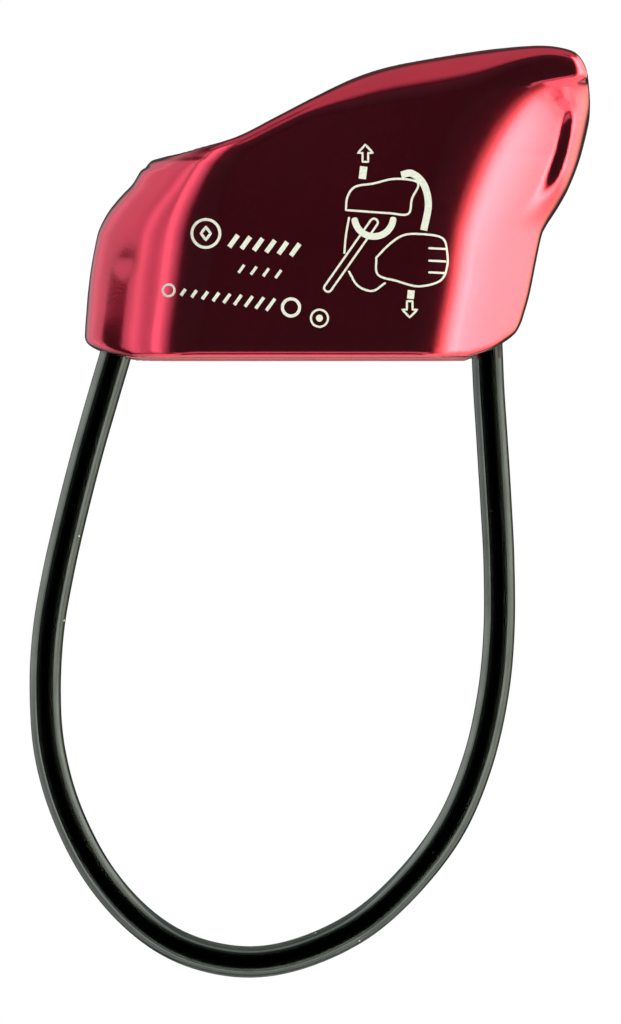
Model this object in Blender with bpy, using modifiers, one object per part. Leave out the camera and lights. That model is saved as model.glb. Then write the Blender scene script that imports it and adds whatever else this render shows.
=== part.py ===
"""Tube-style belay device: a forged body with two rope slots and a coated keeper cable.

Frame: +X towards the high braking nose, +Z up, +Y towards the back wall. The origin is the middle of
the carabiner seat, the flat underside of the web between the two slots.
"""
import math

import bmesh
import bpy
import numpy as np
from mathutils import Matrix, Vector

MM = 0.001

# Body, in millimetres
DEPTH = 35.0                 # outside, front wall to back wall
WALL = 3.5                   # front and back walls
WEB = 5.0                    # web between the slots
WEB_TOP = 10.0               # height where the two slots join in one chamber
LEFT_WALL = 3.0              # end wall on the smooth side
RIGHT_WALL = 3.3             # end wall on the braking side
SLOT_RIGHT_WALL = 4.5        # the same wall below the chamber
MOUTH_FLARE = 1.2            # rounding of the slots' lower edges
CHAMBER_CORNER = 6.5         # radius of the chamber's upright corners
CHAMBER_HEIGHTS = (WEB_TOP, 15.2, 18.5, 22.1, 24.6, 33.6)
SLOT_HEIGHTS = (0.0, 0.12, 0.4, MOUTH_FLARE, 4.2, 7.5)
SLOT_END_EASE = 0.6          # the slots start this much inside the chamber on the smooth side
ABOVE = 44.0                 # any height over the body
BELOW = -1.0                 # and under it

# The braking grooves through the nose: height, near side, and far side inside and outside the body
GROOVE = (
    (18.5, 3.6, 4.6, 4.5),
    (20.5, 3.0, 5.8, 5.1),
    (24.0, 2.5, 6.8, 5.4),
    (ABOVE, 2.5, 7.2, 5.6),
)
GROOVE_START, GROOVE_END = 24.0, 41.0

# Keeper cable, in millimetres
JACKET_DIAMETER = 4.1
JACKET_WALL = 0.8
CORE_DIAMETER = 0.46
STRAND_DIAMETER = 0.4
STRAND_RADIUS = 0.74         # of the helix through the six outer strands' centres
STRAND_PITCH = 33.0
STRAND_COUNT = 6
WIRE_DIAMETER = 1.9          # the bare wire rope
BORE_DIAMETER = 4.8
WIRE_BORE_DIAMETER = 2.8
BORE_SHOULDER = 7.4          # height where the bore narrows to the wire's bore
PIVOT_HEIGHT = -1.5          # axis that the loop flexes about, just under the bores
FERRULE_DIAMETER = 4.4
FERRULE_LENGTH = 5.0
FERRULE_SEAT = 1.2           # from the web's top to the ferrules
FERRULE_EDGE = 0.5
CABLE_END_FOOT = 0.2         # the fixed ends stop just above the loop
WIRE_EDGE = 0.3
WIRE_STUB = 0.6              # of wire past a ferrule
CLEARANCE = 0.3

# The body's edges, seen from the front: the x of the smooth side and of the nose side at a height z
LEFT_EDGE = [
    (BELOW, -18.5),
    (0.0, -21.9),
    (0.6, -24.6),
    (1.6, -27.0),
    (3.3, -27.8),
    (10.0, -27.2),
    (15.2, -26.2),
    (18.5, -24.5),
    (21.9, -21.6),
    (23.4, -20.6),
    (25.4, -19.4),
    (ABOVE, -19.0),
]
RIGHT_EDGE = [
    (BELOW, 18.6),
    (0.0, 21.9),
    (1.2, 24.8),
    (2.7, 27.0),
    (4.2, 28.5),
    (8.3, 29.7),
    (15.2, 31.2),
    (17.0, 31.8),
    (19.5, 33.4),
    (22.1, 34.8),
    (26.1, 36.1),
    (31.3, 37.2),
    (35.3, 37.6),
    (ABOVE, 37.6),
]
CORNER_HEIGHTS = (BELOW, 0.0, 0.6, 1.2, 1.9, 2.7, 3.4, 4.2, 8.3, 12.0, 15.2, 17.0, 18.5, 19.5, 20.8,
                  22.1, 23.4, 24.4, 26.1, 31.3, 35.3, ABOVE)
LEFT_CORNER = 10.0           # radius of the body's upright corners on the smooth side
RIGHT_CORNER = 10.5          # and on the nose side
FOOT_LEFT = -27.8            # widest points of the foot
FOOT_RIGHT = 28.5
FOOT_TOP = 4.2               # below this height the slots' ends stay upright

# The walls' top edge: x and z
ROOF = [
    (-32.0, 22.0),
    (-19.2, 25.4),
    (-14.0, 26.7),
    (-8.4, 28.3),
    (-3.0, 31.0),
    (2.0, 33.6),
    (7.0, 36.0),
    (11.5, 37.5),
    (17.0, 38.6),
    (23.0, 39.5),
    (30.0, 40.1),
    (33.6, 39.8),
    (35.8, 38.8),
    (37.2, 37.0),
    (38.0, 34.0),
]
ROOF_ROLL_HEIGHT = 4.3       # the walls lean in under their top edge, over this height
ROOF_ROLL_DEPTH = 2.2
FOOT_ROUNDING = 1.2
ROLL_STEPS = 4
CORNER_STEPS = 7
PROFILE_LEFT, PROFILE_RIGHT = -36.0, 44.0

# The keeper cable's centre line below the body, in millimetres: x and z at y = 0
ROUTE = [
    (-24.2, 0.0),
    (-25.5, -4.4),
    (-27.7, -12.1),
    (-29.7, -19.9),
    (-31.5, -27.8),
    (-32.8, -35.5),
    (-33.2, -43.4),
    (-32.6, -51.2),
    (-30.4, -59.0),
    (-26.4, -66.8),
    (-21.0, -73.0),
    (-14.8, -76.9),
    (-7.3, -78.5),
    (0.0, -77.4),
    (7.8, -73.7),
    (14.3, -67.9),
    (19.6, -60.8),
    (23.1, -52.5),
    (25.1, -43.8),
    (25.9, -35.5),
    (25.9, -26.6),
    (25.5, -18.6),
    (25.0, -10.5),
    (24.6, -4.4),
    (24.4, 0.0),
]
ROUTE_STEPS = 3              # steps per stretch between two route points
TUBE_POINTS = 60             # along the jacket and the core strand
STRAND_POINTS = 52           # along each outer strand
LEFT_LEAN = math.radians(15.0)     # the bores lean the way the cable leaves them
RIGHT_LEAN = math.radians(-2.5)


# ---------------------------------------------------------------- scene and materials

def clear_scene():
    for item in list(bpy.data.objects):
        bpy.data.objects.remove(item, do_unlink=True)


def new_collection(name):
    collection = bpy.data.collections.new(name)
    bpy.context.scene.collection.children.link(collection)
    return collection


def material(name, colour, roughness, metallic):
    result = bpy.data.materials.new(name)
    result.use_nodes = True
    shader = result.node_tree.nodes["Principled BSDF"]
    shader.inputs["Base Color"].default_value = (*colour, 1.0)
    shader.inputs["Roughness"].default_value = roughness
    shader.inputs["Metallic"].default_value = metallic
    return result


def anodised_red(name):
    return material(name, (0.42, 0.02, 0.05), 0.22, 1.0)


def black_plastic(name):
    return material(name, (0.015, 0.015, 0.015), 0.25, 0.0)


def steel(name):
    return material(name, (0.35, 0.35, 0.36), 0.35, 1.0)


def add_object(name, mesh, collection, finish=None):
    item = bpy.data.objects.new(name, mesh)
    collection.objects.link(item)
    if finish:
        mesh.materials.append(finish)
    return item


# ---------------------------------------------------------------- curves and lofts

def smooth_curve(points, steps):
    """Points on a Catmull-Rom curve through the given rows of numbers, from the first to the last."""
    rows = np.array(points, dtype=float)
    padded = np.vstack([rows[:1], rows, rows[-1:]])
    t = (np.arange(steps) / steps)[:, None]
    spans = []
    for before, start, end, after in zip(padded, padded[1:], padded[2:], padded[3:]):
        spans.append(0.5 * (2.0 * start + (end - before) * t
                            + (2.0 * before - 5.0 * start + 4.0 * end - after) * t ** 2
                            + (3.0 * start - before - 3.0 * end + after) * t ** 3))
    return np.vstack(spans + [rows[-1:]])


def loft(name, sections):
    """A closed solid through rings with the same number of points, with a flat face at each end."""
    shape = bmesh.new()
    rings = [[shape.verts.new(Vector(point) * MM) for point in ring] for ring in sections]
    for lower, upper in zip(rings, rings[1:]):
        for index in range(len(lower)):
            following = (index + 1) % len(lower)
            shape.faces.new((lower[index], lower[following], upper[following], upper[index]))
    shape.faces.new(list(reversed(rings[0])))
    shape.faces.new(rings[-1])
    bmesh.ops.recalc_face_normals(shape, faces=shape.faces)
    mesh = bpy.data.meshes.new(name)
    shape.to_mesh(mesh)
    shape.free()
    return mesh


def cut(target, mesh, name, operation="DIFFERENCE"):
    """Takes a cutter's shape out of the target, or keeps only what is inside the cutter."""
    cutter = add_object(name, mesh, cutters)
    cutter.hide_render = True
    cutter.display_type = "WIRE"
    boolean = target.modifiers.new(name, "BOOLEAN")
    boolean.operation = operation
    boolean.solver = "EXACT"
    boolean.object = cutter


# ---------------------------------------------------------------- body

def left_edge(height):
    """The outer edge's x on the smooth side."""
    return float(np.interp(height, *zip(*LEFT_EDGE)))


def right_edge(height):
    """The outer edge's x on the nose side."""
    return float(np.interp(height, *zip(*RIGHT_EDGE)))


def ellipse_corner(centre_x, centre_y, radius_x, radius_y, first, height):
    """A quarter ellipse's points, anticlockwise from the given angle."""
    angles = [math.radians(first + 90.0 * step / (CORNER_STEPS - 1)) for step in range(CORNER_STEPS)]
    return [(centre_x + radius_x * math.cos(a), centre_y + radius_y * math.sin(a), height) for a in angles]


def body_block_mesh():
    """The body before its top is cut: upright rings with round corners that follow both ends' edges."""
    left_y = DEPTH / 2.0 - LEFT_CORNER
    right_y = DEPTH / 2.0 - RIGHT_CORNER
    sections = []
    for height in CORNER_HEIGHTS:
        left = left_edge(height)
        right = right_edge(height)
        narrowing = (left - FOOT_LEFT, FOOT_RIGHT - right) if height < FOOT_TOP else (0.0, 0.0)
        left_x = LEFT_CORNER - narrowing[0]
        right_x = RIGHT_CORNER - narrowing[1]
        sections.append(
            ellipse_corner(right - right_x, -right_y, right_x, RIGHT_CORNER, -90.0, height)
            + ellipse_corner(right - right_x, right_y, right_x, RIGHT_CORNER, 0.0, height)
            + ellipse_corner(left + left_x, left_y, left_x, LEFT_CORNER, 90.0, height)
            + ellipse_corner(left + left_x, -left_y, left_x, LEFT_CORNER, 180.0, height))
    return loft("body", sections)


def profile_mesh():
    """The body's front profile as a block: its top edge and foot roll in from both flat faces."""
    roof = smooth_curve(ROOF, 2)
    slope = np.gradient(roof, axis=0)
    slope /= np.linalg.norm(slope, axis=1)[:, None]
    half_depth = DEPTH / 2.0 + 0.02      # a touch deeper than the block that it trims
    front = []
    for step in range(ROLL_STEPS + 1):
        angle = math.radians(90.0) * (1.0 - step / ROLL_STEPS)
        inward = 1.0 - math.cos(angle)
        back = 1.0 - math.sin(angle)
        top_y = -(half_depth - ROOF_ROLL_DEPTH * back)
        foot_y = -(half_depth - FOOT_ROUNDING * back)
        foot_z = FOOT_ROUNDING * inward
        ring = [(x + dz * ROOF_ROLL_HEIGHT * inward, top_y, z - dx * ROOF_ROLL_HEIGHT * inward)
                for (x, z), (dx, dz) in zip(roof, slope)]
        ring += [(PROFILE_RIGHT, foot_y, 20.0), (PROFILE_RIGHT, foot_y, foot_z),
                 (PROFILE_LEFT, foot_y, foot_z), (PROFILE_LEFT, foot_y, 10.0)]
        front.append(ring)
    back_rings = [[(x, -y, z) for x, y, z in ring] for ring in reversed(front)]
    return loft("profile", front + back_rings)


def round_ended_ring(x_left, x_right, y_near, y_far, radius, height, steps=5):
    """A rectangle with round corners."""
    corners = [
        (x_right - radius, y_near + radius, -90.0),
        (x_right - radius, y_far - radius, 0.0),
        (x_left + radius, y_far - radius, 90.0),
        (x_left + radius, y_near + radius, 180.0),
    ]
    ring = []
    for centre_x, centre_y, first in corners:
        for step in range(steps):
            angle = math.radians(first + 90.0 * step / (steps - 1))
            ring.append((centre_x + radius * math.cos(angle), centre_y + radius * math.sin(angle), height))
    return ring


def slot_mesh(side):
    """One rope slot, from under the body up into the chamber, with a rounded mouth."""
    near = WEB / 2.0
    far = DEPTH / 2.0 - WALL
    radius = (far - near) / 2.0
    round_end = 0.98             # just under a half circle, so that no two points meet
    sections = []
    for height in (BELOW, *SLOT_HEIGHTS, WEB_TOP + 1.0):
        depth = MOUTH_FLARE - min(max(height, 0.0), MOUTH_FLARE)
        flare = MOUTH_FLARE - math.sqrt(MOUTH_FLARE ** 2 - depth ** 2)
        end_radius = (radius + flare) * round_end
        upright = max(height, FOOT_TOP)
        ring = round_ended_ring(left_edge(upright) + LEFT_WALL + SLOT_END_EASE - flare,
                                right_edge(upright) - SLOT_RIGHT_WALL + flare,
                                near - flare, far + flare, end_radius, height)
        sections.append([(x, side * y, z) for x, y, z in ring])
    return loft("slot", sections)


def chamber_mesh():
    """The room above the web, where both ropes run, open at the top."""
    far = DEPTH / 2.0 - WALL + 0.1
    sections = []
    for height in (*CHAMBER_HEIGHTS, ABOVE):
        sections.append(round_ended_ring(left_edge(height) + LEFT_WALL, right_edge(height) - RIGHT_WALL,
                                         -far, far, CHAMBER_CORNER, height))
    return loft("chamber", sections)


def groove_mesh(side):
    """One braking groove through the nose: narrow at its floor and towards its outer end."""
    sections = []
    for height, near, far_inside, far_outside in GROOVE:
        ring = [(GROOVE_START, near, height), (GROOVE_END, near, height),
                (GROOVE_END, far_outside, height), (GROOVE_START, far_inside, height)]
        sections.append([(x, side * y, z) for x, y, z in ring])
    return loft("groove", sections)


def cylinder_mesh(name, diameter, low, high, mouth_x, lean, segments=24):
    """A cylinder between two heights, along a bore's leaning axis."""
    axis = Vector((math.sin(lean), 0.0, math.cos(lean)))
    length = (high - low) / math.cos(lean)
    middle = Vector((mouth_x, 0.0, 0.0)) + axis * ((high + low) / 2.0 / math.cos(lean))
    shape = bmesh.new()
    bmesh.ops.create_cone(shape, cap_ends=True, segments=segments, radius1=diameter * MM / 2.0,
                          radius2=diameter * MM / 2.0, depth=length * MM)
    turn = Matrix.Translation(middle * MM) @ Matrix.Rotation(lean, 4, "Y")
    bmesh.ops.transform(shape, matrix=turn, verts=shape.verts)
    mesh = bpy.data.meshes.new(name)
    shape.to_mesh(mesh)
    shape.free()
    return mesh


def make_body():
    body = add_object("body", body_block_mesh(), parts, anodised_red("body_anodised"))
    cut(body, profile_mesh(), "profile_cutter", "INTERSECT")
    cut(body, chamber_mesh(), "chamber_cutter")
    for name, side in (("front", -1.0), ("back", 1.0)):
        cut(body, slot_mesh(side), f"slot_cutter_{name}")
        cut(body, groove_mesh(side), f"groove_cutter_{name}")
    for name, mouth_x, lean in cable_ends():
        cut(body, cylinder_mesh("bore", BORE_DIAMETER, -4.0, BORE_SHOULDER, mouth_x, lean),
            f"bore_cutter_{name}")
        cut(body, cylinder_mesh("wire_bore", WIRE_BORE_DIAMETER, BORE_SHOULDER - 1.0, WEB_TOP + 1.0,
                                mouth_x, lean), f"wire_bore_cutter_{name}")
    return body


# ---------------------------------------------------------------- ferrules and fixed cable ends

def cable_ends():
    return (("left", ROUTE[0][0], LEFT_LEAN), ("right", ROUTE[-1][0], RIGHT_LEAN))


def turned_object(name, profile, mouth_x, lean, finish, closed=False):
    """A turned solid on a bore's axis. The profile's rows are a radius and a height from the mouth."""
    mesh = bpy.data.meshes.new(name)
    vertices = [(radius * MM, 0.0, height * MM) for radius, height in profile]
    edges = [(index, index + 1) for index in range(len(profile) - 1)]
    if closed:
        edges.append((len(profile) - 1, 0))
    mesh.from_pydata(vertices, edges, [])
    item = add_object(name, mesh, parts, finish)
    item.location = (mouth_x * MM, 0.0, 0.0)
    item.rotation_euler = (0.0, lean, 0.0)
    screw = item.modifiers.new("turn", "SCREW")
    screw.steps = 20
    screw.render_steps = 20
    screw.use_merge_vertices = True
    screw.merge_threshold = 0.00001
    screw.use_smooth_shade = True
    return item


def make_ferrule(name, mouth_x, lean):
    """A short sleeve, swaged on the wire above the web, with softened edges."""
    outer = FERRULE_DIAMETER / 2.0
    inner = WIRE_DIAMETER / 2.0 + CLEARANCE
    low = (WEB_TOP + FERRULE_SEAT) / math.cos(lean)
    high = low + FERRULE_LENGTH
    profile = [(inner, high), (outer - FERRULE_EDGE, high), (outer, high - FERRULE_EDGE),
               (outer, low + FERRULE_EDGE), (outer - FERRULE_EDGE, low), (inner, low)]
    return turned_object(name, profile, mouth_x, lean, steel(f"{name}_steel"), closed=True)


def make_cable_end(name, mouth_x, lean):
    """The cable's fixed end: jacketed in the bore, then bare wire up through the ferrule."""
    jacket = JACKET_DIAMETER / 2.0
    wire = WIRE_DIAMETER / 2.0
    foot = CABLE_END_FOOT
    jacket_top = BORE_SHOULDER - 3.0 * CLEARANCE
    top = (WEB_TOP + FERRULE_SEAT) / math.cos(lean) + FERRULE_LENGTH + WIRE_STUB
    profile = [(0.0, top), (wire - WIRE_EDGE, top), (wire, top - WIRE_EDGE), (wire, jacket_top + WIRE_EDGE),
               (jacket, jacket_top), (jacket, foot), (0.0, foot)]
    return turned_object(name, profile, mouth_x, lean, black_plastic(f"{name}_jacket"))


# ---------------------------------------------------------------- keeper loop

def loop_centre_line():
    """The loop's centre line from pivot to pivot, with each point's direction."""
    line = smooth_curve(ROUTE, ROUTE_STEPS)
    length = np.concatenate(([0.0], np.cumsum(np.linalg.norm(np.diff(line, axis=0), axis=1))))
    below = line[:, 1] < PIVOT_HEIGHT
    first, last = np.flatnonzero(below)[[0, -1]]
    start = np.interp(PIVOT_HEIGHT, [line[first, 1], line[first - 1, 1]], [length[first], length[first - 1]])
    end = np.interp(PIVOT_HEIGHT, [line[last, 1], line[last + 1, 1]], [length[last], length[last + 1]])
    return line, length, start, end


def points_along(count):
    """Evenly spaced points of the loop with their in-plane normals and distances."""
    line, length, start, end = loop_centre_line()
    distance = np.linspace(start, end, count)
    points = np.stack([np.interp(distance, length, line[:, k]) for k in (0, 1)], axis=1)
    tangent = np.gradient(points, axis=0)
    tangent /= np.linalg.norm(tangent, axis=1)[:, None]
    normal = np.stack([-tangent[:, 1], tangent[:, 0]], axis=1)
    return points, normal, distance - start


def tube_object(name, points, diameter, sides_step, finish, filled=True):
    """A round tube along a line of points."""
    data = bpy.data.curves.new(name, "CURVE")
    data.dimensions = "3D"
    data.bevel_depth = diameter * MM / 2.0
    data.bevel_resolution = sides_step
    data.use_fill_caps = filled
    spline = data.splines.new("POLY")
    spline.points.add(len(points) - 1)
    for item, point in zip(spline.points, points):
        item.co = (*(Vector(point) * MM), 1.0)
    data.materials.append(finish)
    item = bpy.data.objects.new(name, data)
    parts.objects.link(item)
    return item


def about_pivot(item, pivot):
    """Parents a piece of the loop to the empty on the flex axis."""
    item.parent = pivot
    item.matrix_parent_inverse = pivot.matrix_world.inverted()


def make_keeper_loop():
    pivot = bpy.data.objects.new("keeper_flex_axis", None)
    parts.objects.link(pivot)
    pivot.location = (0.0, 0.0, PIVOT_HEIGHT * MM)
    bpy.context.view_layer.update()

    points, _, _ = points_along(TUBE_POINTS)
    line = [(x, 0.0, z) for x, z in points]
    vinyl = black_plastic("jacket_vinyl")
    jacket = tube_object("cable_jacket", line, JACKET_DIAMETER, 3, vinyl, filled=False)
    shell = jacket.modifiers.new("wall", "SOLIDIFY")
    shell.thickness = JACKET_WALL * MM
    shell.offset = -1.0
    about_pivot(jacket, pivot)

    core = tube_object("wire_core_strand", line, CORE_DIAMETER, 1, steel("core_strand_steel"))
    about_pivot(core, pivot)

    points, normal, distance = points_along(STRAND_POINTS)
    for number in range(STRAND_COUNT):
        angle = 2.0 * math.pi * (distance / STRAND_PITCH + number / STRAND_COUNT)
        across = STRAND_RADIUS * np.cos(angle)
        sideways = STRAND_RADIUS * np.sin(angle)
        helix = [(x + a * nx, s, z + a * nz)
                 for (x, z), (nx, nz), a, s in zip(points, normal, across, sideways)]
        name = f"wire_outer_strand_{number + 1}"
        strand = tube_object(name, helix, STRAND_DIAMETER, 1, steel(f"{name}_steel"))
        about_pivot(strand, pivot)


# ---------------------------------------------------------------- the whole object

clear_scene()
parts = new_collection("belay_device")
cutters = new_collection("cutters")
make_body()
for end_name, end_x, end_lean in cable_ends():
    make_ferrule(f"stop_ferrule_{end_name}", end_x, end_lean)
    make_cable_end(f"cable_end_{end_name}", end_x, end_lean)
make_keeper_loop()
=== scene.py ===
import math

import bmesh
import bpy
import numpy as np
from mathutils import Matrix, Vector


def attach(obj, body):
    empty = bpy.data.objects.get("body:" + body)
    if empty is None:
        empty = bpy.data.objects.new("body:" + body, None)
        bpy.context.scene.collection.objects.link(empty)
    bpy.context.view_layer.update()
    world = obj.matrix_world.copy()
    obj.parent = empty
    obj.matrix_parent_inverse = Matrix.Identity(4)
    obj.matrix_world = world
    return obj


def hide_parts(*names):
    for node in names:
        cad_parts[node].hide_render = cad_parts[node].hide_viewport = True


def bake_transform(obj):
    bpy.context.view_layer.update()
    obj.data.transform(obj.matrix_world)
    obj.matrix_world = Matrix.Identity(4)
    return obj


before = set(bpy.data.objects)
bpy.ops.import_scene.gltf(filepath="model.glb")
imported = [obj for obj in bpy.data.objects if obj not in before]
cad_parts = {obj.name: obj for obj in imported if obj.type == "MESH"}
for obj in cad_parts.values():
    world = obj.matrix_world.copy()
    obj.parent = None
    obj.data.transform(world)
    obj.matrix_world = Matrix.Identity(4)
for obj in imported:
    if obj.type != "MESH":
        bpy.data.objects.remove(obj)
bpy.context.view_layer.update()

MM = 0.001
DEVICE = "device"

# Lengths from here on are millimetres, unless a name says otherwise. +X is towards the nose.

# ---------------------------------------------------------------- the body's shape

HALF_DEPTH = 17.5
WALL = 3.5
HALF_WEB = 2.5
WEB_TOP = 10.0
EDGE_ROUNDING = 1.2          # of the slots' mouths and the walls' rims
FOOT_TOP = 4.2               # below this height the end walls' insides stay upright

LEFT_EDGE = [                # the smooth end's outer edge: height and x
    (0.0, -27.9), (3.3, -27.9), (6.3, -27.7), (11.2, -27.3), (15.5, -26.5), (17.0, -26.0), (18.8, -25.0),
    (20.2, -23.9), (21.4, -22.8), (22.4, -21.8), (23.3, -21.2), (24.4, -20.6), (25.4, -19.9), (32.0, -19.2),
    (44.0, -19.0),
]
RIGHT_EDGE = [               # the nose end's outer edge
    (0.0, 28.2), (4.2, 28.6), (8.3, 29.7), (15.2, 31.1), (17.0, 31.8), (19.5, 33.4), (22.1, 34.8),
    (26.1, 36.3), (31.3, 37.5), (35.3, 37.9), (44.0, 37.9),
]
ROOF_EDGE = [                # the walls' top edge: x and height
    (-32.0, 22.6), (-19.2, 25.6), (-14.0, 26.8), (-8.4, 28.3), (-3.0, 31.0), (2.0, 33.6), (7.0, 36.0),
    (11.5, 37.5), (17.0, 38.6), (23.0, 39.5), (30.0, 40.1), (33.8, 39.8), (36.1, 38.8), (37.5, 37.0),
    (38.7, 33.0), (40.2, 28.0),
]
LEFT_FLAT = [                # where the flat face ends on the smooth end's side: height and x
    (-2.0, -16.8), (2.8, -16.4), (10.0, -15.2), (16.8, -14.3), (22.0, -12.8), (25.0, -11.2), (28.0, -9.6),
    (44.0, -6.0),
]
RIGHT_FLAT = [               # and on the nose's side
    (-2.0, 17.3), (0.3, 17.7), (8.7, 19.3), (16.5, 20.3), (21.7, 21.4), (27.2, 23.5), (30.0, 24.9),
    (32.2, 26.5), (33.5, 27.9), (34.4, 29.7), (35.1, 31.6), (35.8, 35.2), (36.6, 39.5), (38.0, 44.0),
    (44.0, 46.0),
]
ROOF_ROLL = [                # the roof edge's roll: x, depth and height
    (-32.0, 1.2, 1.7), (-18.0, 1.2, 1.8), (-12.0, 1.3, 1.9), (-6.0, 1.3, 1.8), (0.0, 1.5, 2.0),
    (4.0, 2.0, 2.9), (8.0, 2.6, 4.1), (15.0, 2.9, 5.0), (22.0, 2.8, 4.6), (28.0, 1.9, 2.6),
    (33.0, 1.3, 1.6), (40.0, 1.3, 1.5),
]
FOOT_EDGE = [                # the underside, which rises towards both ends
    (-32.0, 3.0), (-28.0, 1.9), (-25.9, 1.05), (-23.9, 0.45), (-21.9, 0.08), (-20.0, 0.0), (0.0, 0.0),
    (20.0, 0.0), (21.5, 0.06), (23.0, 0.45), (24.8, 1.15), (26.5, 2.2), (27.9, 3.2), (29.5, 4.6), (34.0, 8.0),
]


LEFT_WALL, RIGHT_WALL = 3.0, 3.3       # end walls round the chamber
SLOT_LEFT_EASE, SLOT_RIGHT_EASE = 0.6, 1.2     # the same walls are this much thicker below it
CHAMBER_CORNER = 6.5
END_RELIEF = 0.9             # low relief in the middle of the smooth end
FRONT_ROUNDING = 1.2         # between the front and the flanks
END_ROUNDING = 0.9
FOOT_ROUNDING = 0.9
RIM_RISE = 1.25              # the nose's rim over its flank
RIM_FADE = (1.1, 3.9)        # inwards from the nose's edge
RIM_COMES, RIM_GOES = (16.5, 24.5), (29.0, 36.0)       # heights
BOSS_RISE = 0.5
BOSS_PLACE = (34.4, 33.4)


def smooth_rows(rows, steps=16):
    """Points on a Catmull-Rom curve through rows of numbers, from the first row to the last."""
    rows = np.array(rows, dtype=float)
    padded = np.vstack([2.0 * rows[0] - rows[1], rows, 2.0 * rows[-1] - rows[-2]])
    t = (np.arange(steps) / steps)[:, None]
    spans = []
    for before, start, end, after in zip(padded, padded[1:], padded[2:], padded[3:]):
        spans.append(0.5 * (2.0 * start + (end - before) * t
                            + (2.0 * before - 5.0 * start + 4.0 * end - after) * t ** 2
                            + (3.0 * start - before - 3.0 * end + after) * t ** 3))
    return np.vstack(spans + [rows[-1:]])


class Edge:
    """An edge of the front profile as a function, with the factor that turns its offset into a distance."""

    def __init__(self, rows):
        table = smooth_rows(rows)
        self.at = table[:, 0]
        self.value = table[:, 1]
        self.steepness = np.gradient(self.value, self.at)

    def __call__(self, at):
        return np.interp(at, self.at, self.value)

    def to_distance(self, at):
        return 1.0 / np.sqrt(1.0 + np.interp(at, self.at, self.steepness) ** 2)


left_edge = Edge(LEFT_EDGE)
right_edge = Edge(RIGHT_EDGE)
roof_edge = Edge(ROOF_EDGE)
foot_edge = Edge(FOOT_EDGE)
roll_depth = Edge([row[:2] for row in ROOF_ROLL])
roll_height = Edge([row[::2] for row in ROOF_ROLL])
left_flat = Edge(LEFT_FLAT)
right_flat = Edge(RIGHT_FLAT)


def both(a, b, radius):
    """The part inside both shapes, with its edge rounded."""
    return (np.minimum(np.maximum(a, b), -radius)
            + np.hypot(np.maximum(a + radius, 0.0), np.maximum(b + radius, 0.0)))


def either(a, b, radius):
    """The part inside either shape, with a fillet between them."""
    return -both(-a, -b, radius)


def both_rolled(a, b, radius_a, radius_b):
    """Like both, with an edge that is part of an ellipse."""
    u = a / radius_a + 1.0
    v = b / radius_b + 1.0
    share = np.hypot(np.maximum(u, 0.0), np.maximum(v, 0.0)) + np.minimum(np.maximum(u, v), 0.0) - 1.0
    return share * np.minimum(radius_a, radius_b)


def ramp(value, low, high):
    """0 below low, 1 above high, smooth between them."""
    t = np.clip((value - low) / (high - low), 0.0, 1.0)
    return t * t * (3.0 - 2.0 * t)


def flank(beyond, front, width, turn, radius):
    """A softly curved flank between the flat face and an end. Its middle faces turn degrees to the side."""
    sine, cosine = np.sin(np.radians(turn)), np.cos(np.radians(turn))
    half_length = width / (2.0 * cosine)
    sideways = beyond + width / 2.0
    forwards = front + width * sine / cosine / 2.0
    outwards = sine * sideways + cosine * forwards
    along = np.clip(cosine * sideways - sine * forwards, -1.6 * half_length, 1.6 * half_length)
    return outwards + (along ** 2 - half_length ** 2) / (2.0 * radius)


def nose_relief(inwards, x, z):
    """How far the nose's raised rim and its small boss stand out of the flank."""
    reach = ramp(z, *RIM_COMES) * (1.0 - ramp(z, *RIM_GOES))
    rim = RIM_RISE * reach * (1.0 - ramp(inwards, *RIM_FADE))
    boss = BOSS_RISE * np.exp(-((x - BOSS_PLACE[0]) ** 2 + (z - BOSS_PLACE[1]) ** 2) / 2.0)
    return rim + boss


def outside_shape(x, y, z):
    """The body's outer form, without its slots. y is the distance from the middle plane."""
    front = y - HALF_DEPTH
    above = (z - roof_edge(x)) * roof_edge.to_distance(x)
    left_x, right_x = left_edge(z), right_edge(z)

    relief = END_RELIEF * (1.0 - ramp(y, 1.0, 7.5)) * ramp(z, 7.0, 13.0)
    left = (left_x - x + relief) * left_edge.to_distance(z)
    left_side = flank(left_x - x, front, left_flat(z) - left_x, 40.0, 22.0)

    right = (x - right_x) * right_edge.to_distance(z)
    turn = np.interp(z, (12.0, 26.0, 34.0), (35.0, 28.0, 22.0))
    curve = np.interp(z, (12.0, 26.0), (28.0, 40.0))
    right_side = flank(x - right_x, front, right_x - right_flat(z), turn, curve) - nose_relief(-right, x, z)

    shape = both(both(front, left_side, FRONT_ROUNDING), right_side, FRONT_ROUNDING)
    shape = both_rolled(shape, above, roll_depth(x), roll_height(x))
    nose_rounding = np.interp(z, (14.0, 22.0, 30.0), (0.9, 1.3, 2.8))
    shape = both(both(shape, left, END_ROUNDING), right, nose_rounding)
    return both(shape, (foot_edge(x) - z) * foot_edge.to_distance(x), FOOT_ROUNDING)


def inside_shape(x, y, z):
    """What is solid within the walls: everything but the hollow, and the web across it."""
    upright = np.maximum(z, FOOT_TOP)
    low_part = 1.0 - ramp(z, 8.0, 13.0)
    left = left_edge(upright) + LEFT_WALL + SLOT_LEFT_EASE * low_part
    right = right_edge(upright) - RIGHT_WALL - SLOT_RIGHT_EASE * low_part
    corner = CHAMBER_CORNER
    across = np.abs(x - (left + right) / 2.0) - (right - left) / 2.0 + corner
    along = y - (HALF_DEPTH - WALL) + corner
    hollow = (np.hypot(np.maximum(across, 0.0), np.maximum(along, 0.0))
              + np.minimum(np.maximum(across, along), 0.0) - corner)
    saddle = WEB_TOP + 0.8 * (x / 20.0) ** 2 - 0.8
    web = both(y - HALF_WEB, z - saddle, 2.2)
    return either(-hollow, web, 4.6)


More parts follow.
